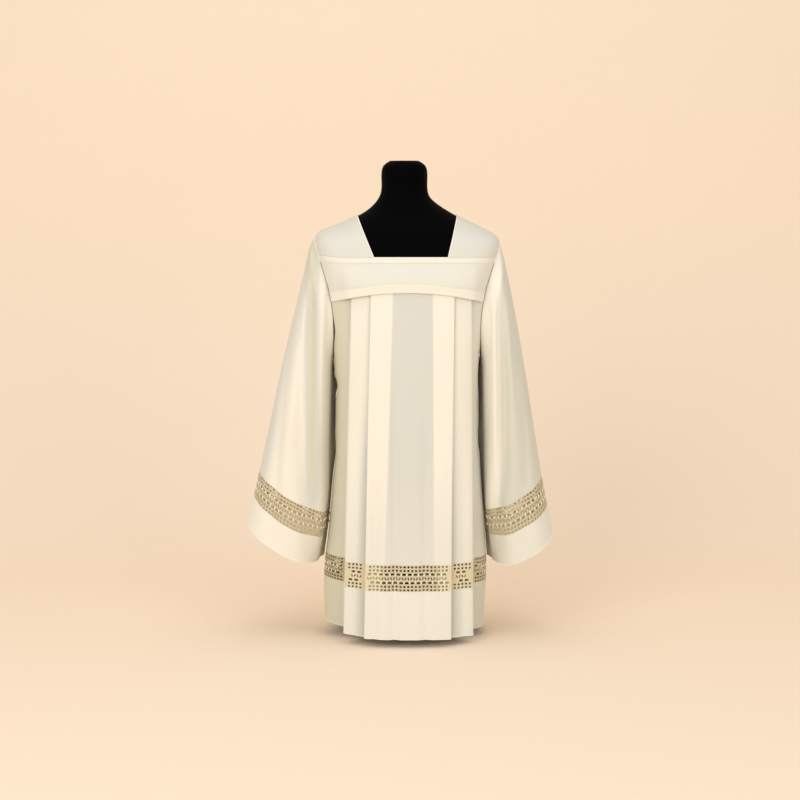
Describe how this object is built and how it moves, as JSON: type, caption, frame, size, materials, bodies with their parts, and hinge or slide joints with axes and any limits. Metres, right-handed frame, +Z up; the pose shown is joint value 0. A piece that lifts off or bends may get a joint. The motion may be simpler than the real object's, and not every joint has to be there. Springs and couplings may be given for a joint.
{
  "type": "surplice on a dress form",
  "caption": "Cream surplice with square neckline, pleated body, wide sleeves and lace bands, on a black limbless dress form.",
  "frame": {"origin": "middle of the underside of the stand's oval base", "axes": "+Z up, the garment's front faces -Y, the wearer's right sleeve is on -X"},
  "size_m": [0.6902, 0.3212, 1.063],
  "materials": {
    "linen": "matt fine plain-weave linen, slightly see-through",
    "lace": "matt openwork lace insertion",
    "form_cover": "matt black jersey cover",
    "stand": "black satin paint"
  },
  "bodies": {
    "root": {"yoke_front": "linen", "skirt_front": "linen", "lace_front": "lace", "hem_front": "linen", "yoke_back": "linen", "skirt_back": "linen", "lace_back": "lace", "hem_back": "linen", "shoulder_left": "linen", "sleeve_left": "linen", "sleeve_lace_left_front": "lace", "sleeve_lace_left_back": "lace", "cuff_left": "linen", "shoulder_right": "linen", "sleeve_right": "linen", "sleeve_lace_right_front": "lace", "sleeve_lace_right_back": "lace", "cuff_right": "linen", "form_torso": "form_cover", "form_pole": "stand", "form_base": "stand"}
  },
  "joints": []
}
